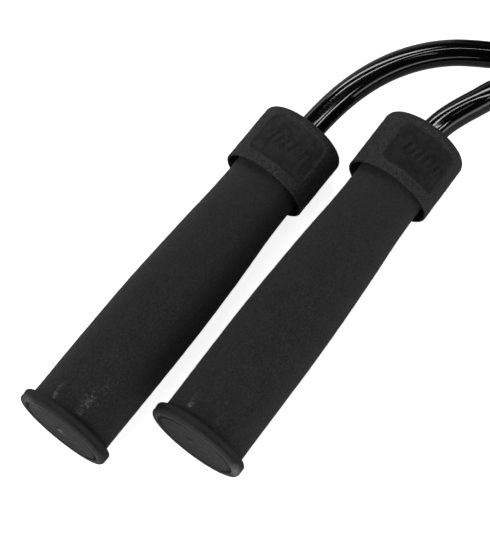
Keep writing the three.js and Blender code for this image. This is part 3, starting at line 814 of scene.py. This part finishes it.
CAPS = {  # centre of the moulding dimple, depth of the line round the rim, where the crease opens (degrees), rubbed places and painted highlights
    "left": ((0.4, 1.3), 0.22, (58.0, 120.0), [((12.6, 12.2, 0.4), (6.5, 5.5, 1.5), 0.50), ((0.1, -1.1, 0.5), (2.6, 1.5, 1.6), 1.0)]),
    "right": ((0.9, 2.4), 0.32, (150.0, 95.0), [((-17.9, -0.6, 0.3), (3.4, 8.5, 2.6), 1.0), ((0.6, 0.2, 0.5), (2.2, 1.2, 1.4), 0.35)]),
}
HANDLES = (
    ("left", (-21.192, -84.026, 19.051), (0.012547, 0.999832, -0.013384), 101.0, 44.0, 46.3, 1.7),
    ("right", (21.192, -60.665, 19.051), (-0.012547, 0.999832, -0.013384), 115.3, 43.0, 43.0, 6.3),
)
for side, at, along, theta0, lo, hi, seed in HANDLES:
    M = place(at, along)
    body, balls = f"{side}_handle", f"{side}_ball_set"

    mark, waist, crease, rubs_and_highlights = CAPS[side]
    v, f, _ = end_cap(seed, mark, waist, crease)
    make(f"{side}_end_cap_moulded", v, f, cap_rubber(f"cap_moulded_rubber_{side}", rubs_and_highlights), body, M, [f"{side}_end_cap"], weld=True)
    v, f, _ = grip(seed)
    make(f"{side}_foam_grip", v, f, foam(f"grip_foam_{side}", PATCHES[side], *CREASE_SHADE[side]), body, M, [f"{side}_grip_sleeve"], weld=True)
    v, f, panel = collar(math.radians(theta0), math.radians(lo), math.radians(hi), seed)
    make(f"{side}_nose_collar", v, f, M_COLLAR[side], body, M, [f"{side}_collar"], attributes={"panel": panel})

    v, f = inner_ring([(TUBE_OUT, 4.85, 0.3), (TUBE_OUT, 122.4, 0.4), (12.0, 122.9, 0.3), (12.0, TUBE_END, 0.3), (TUBE_IN, TUBE_END, 0.4), (TUBE_IN, 4.85, 0.3)])
    make(f"{side}_core_tube_moulded", v, f, M_TUBE, body, M, [f"{side}_core_tube"], weld=True)
    h = HOUSING
    v, f = inner_ring([
        (13.9, h["z0"], 0.3), (h["rOut"], h["z0"] + 0.7, 0.3), (h["rOut"], h["z1"] - 0.7, 0.3), (h["rOut"] - 0.7, h["z1"], 0.3),
        (h["rHole"], h["z1"], 0.4), (h["rHole"], h["wall"], 0.4), (h["rSeat"], h["wall"], 0.25), (h["rSeat"], h["z0"], 0.3),
    ])
    make(f"{side}_nose_housing_moulded", v, f, M_TUBE, body, M, [f"{side}_nose_housing"], weld=True)

    b = BEARING
    zb, hb = b["z"], b["half"]
    groove = lambda a0, a1: [(b["pitch"] + b["groove"] * math.cos(math.radians(a0 + (a1 - a0) * i / 10)), zb + b["groove"] * math.sin(math.radians(a0 + (a1 - a0) * i / 10)), 0) for i in range(11)]
    v, f = inner_ring([(10.55, zb - hb, 0.15), (b["rOut"], zb - hb, 0.3), (b["rOut"], zb + hb, 0.3), (10.55, zb + hb, 0.15)] + groove(48, -48))
    make(f"{side}_outer_race_ground", v, f, M_STEEL, body, M, [f"{side}_bearing_outer_race"], weld=True)
    v, f = inner_ring([(b["rBore"], zb - hb, 0.3), (7.45, zb - hb, 0.15)] + groove(228, 132) + [(7.45, zb + hb, 0.15), (b["rBore"], zb + hb, 0.3)])
    make(f"{side}_inner_race_ground", v, f, M_STEEL, "rope", M, [f"{side}_bearing_inner_race"], weld=True)
    v, f = inner_ring([(5.6, 125.3, 0.12), (8.2, 125.3, 0.12), (8.2, 126.2, 0.12), (5.6, 126.2, 0.12)])
    make(f"{side}_thrust_washer_turned", v, f, M_WASHER, "rope", M, [f"{side}_thrust_washer"], weld=True)
    v, f = inner_ring([
        (5.4, 117.4, 0.1), (7.1, 117.4, 0.1), (7.4, 117.8, 0.2), (7.4, 119.4, 0.1), (7.15, 119.7, 0.1), (7.15, 120.5, 0.1), (7.4, 120.8, 0.1),
        (7.4, 121.8, 0.1), (7.15, 122.1, 0.1), (7.15, 122.9, 0.1), (7.4, 123.2, 0.1), (7.4, 124.6, 0.2), (7.1, 125.0, 0.1), (5.4, 125.0, 0.1),
    ])
    make(f"{side}_rope_ferrule_crimped", v, f, M_FERRULE, "rope", M, [f"{side}_rope_ferrule"], weld=True)

    for i in range(b["balls"]):
        a = 2 * math.pi * i / b["balls"]
        bm = bmesh.new()
        bmesh.ops.create_cube(bm, size=2.0)
        bmesh.ops.subdivide_edges(bm, edges=bm.edges, cuts=9, use_grid_fill=True)
        for vert in bm.verts:  # a lapped ball, from an evenly divided cube so that it has no poles
            vert.co = vert.co.normalized() * b["ball"]
        bm.verts.ensure_lookup_table()
        bv = [tuple(x.co + Vector((-b["pitch"] * math.sin(a), b["pitch"] * math.cos(a), zb))) for x in bm.verts]
        bf = [tuple(x.index for x in q.verts) for q in bm.faces]
        bm.free()
        make(f"{side}_bearing_ball_{i + 1}_lapped", bv, bf, M_BALL, balls, M, [f"{side}_bearing_ball_{i + 1}"], weld=True)
    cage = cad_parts[f"{side}_bearing_cage"]
    cage.data.materials.clear()
    cage.data.materials.append(M_CAGE)

# ------------------------------------------------------------------ floor, light
def stage_floor(name, height, albedo, glow, seen):
    """A plain pale floor. The seen one glows a little, as a light table does; the other only bounces light on to the object."""
    n = Nodes(name)
    p = n.mm()
    n.set(Base_Color=n.mix(n.noise(p, 0.004, 2.0, 0.5), grey(albedo), grey(albedo * 1.03)), Roughness=0.95, Specular_IOR_Level=0.0,
          Emission_Color=grey(1.0), Emission_Strength=glow)
    n.mat.cycles.emission_sampling = "NONE"
    bm = bmesh.new()
    bmesh.ops.create_grid(bm, x_segments=8, y_segments=8, size=9.0)
    me = bpy.data.meshes.new(name)
    bm.to_mesh(me)
    bm.free()
    me.materials.append(n.mat)
    o = bpy.data.objects.new(name, me)
    o.location = (0, 0, height)
    o.visible_camera = seen
    o.visible_diffuse = o.visible_glossy = o.visible_transmission = o.visible_shadow = not seen
    scene.collection.objects.link(o)
    o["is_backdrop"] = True


stage_floor("floor_seen", -0.0002, 0.90, 0.85, True)
stage_floor("floor_bounce", -0.0006, 0.60, 0.0, False)


def area(name, end_a, end_b, distance, width, radiance, target=(0.0, 0.06, 0.015)):
    """A flat studio light seen from the object between directions end_a and end_b."""
    a, b = Vector(end_a).normalized(), Vector(end_b).normalized()
    d = (a + b).normalized()
    half = math.acos(max(-1.0, min(1.0, a.dot(b)))) / 2
    long_side = 2 * distance * math.tan(half)
    light = bpy.data.lights.new(name, "AREA")
    light.shape = "RECTANGLE"
    light.size, light.size_y = long_side, width
    light.energy = radiance * math.pi * long_side * width
    x = (b - a) - d * (b - a).dot(d)
    x.normalize()
    y = d.cross(x)
    m = Matrix.Identity(4)
    for i in range(3):
        m[i][0], m[i][1], m[i][2], m[i][3] = x[i], y[i], d[i], target[i] + d[i] * distance
    o = bpy.data.objects.new(name, light)
    o.matrix_world = m
    o.visible_camera = False
    scene.collection.objects.link(o)
    return o


LIGHTS = (  # name, direction of one end and of the other, distance, width, radiance
    ("softbox_left_high", (-0.82, 0.46, 0.34), (-0.12, 0.54, 0.84), 1.5, 0.13, 10.0),
    ("tube_overhead", (0.46, 0.26, 0.85), (-0.42, 0.38, 0.82), 1.5, 0.030, 16.0),
    ("softbox_right", (0.73, 0.14, 0.66), (0.66, 0.30, 0.69), 1.5, 0.17, 11.0),
    ("strip_right_high", (0.36, 0.18, 0.915), (0.51, 0.00, 0.86), 1.5, 0.02, 5.0),
    ("strip_right_low", (0.76, -0.54, 0.37), (0.64, -0.67, 0.37), 1.5, 0.03, 7.0),
    ("softbox_right_low", (0.30, -0.95, 0.14), (0.98, 0.20, 0.14), 1.35, 0.50, 2.2),
    ("softbox_left_low", (-0.97, -0.20, 0.10), (-0.88, 0.45, 0.10), 1.35, 0.25, 1.0),
    ("softbox_front", (-0.75, -0.60, 0.36), (0.25, -0.90, 0.36), 1.5, 0.60, 1.6),
    ("softbox_top", (-0.55, -0.35, 0.76), (0.15, -0.45, 0.88), 1.5, 0.70, 2.6),
)
for spec in LIGHTS:
    area(*spec)

world = bpy.data.worlds.new("studio")
scene.world = world
world.use_nodes = True
wt = world.node_tree
wt.nodes.clear()
w_out = wt.nodes.new("ShaderNodeOutputWorld")
w_bg = wt.nodes.new("ShaderNodeBackground")
w_co = wt.nodes.new("ShaderNodeTexCoord")
w_sep = wt.nodes.new("ShaderNodeSeparateXYZ")
w_map = wt.nodes.new("ShaderNodeMapRange")
w_map.interpolation_type = "SMOOTHSTEP"
wt.links.new(w_co.outputs["Generated"], w_sep.inputs[0])
wt.links.new(w_sep.outputs[2], w_map.inputs[0])
w_map.inputs[1].default_value, w_map.inputs[2].default_value = 0.08, 0.55
w_map.inputs[3].default_value, w_map.inputs[4].default_value = 1.0, 0.06
w_mixw = wt.nodes.new("ShaderNodeCombineColor")
for i in range(3):
    wt.links.new(w_map.outputs[0], w_mixw.inputs[i])
wt.links.new(w_mixw.outputs[0], w_bg.inputs[0])
w_bg.inputs[1].default_value = 0.42
wt.links.new(w_bg.outputs[0], w_out.inputs[0])

lo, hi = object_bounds()
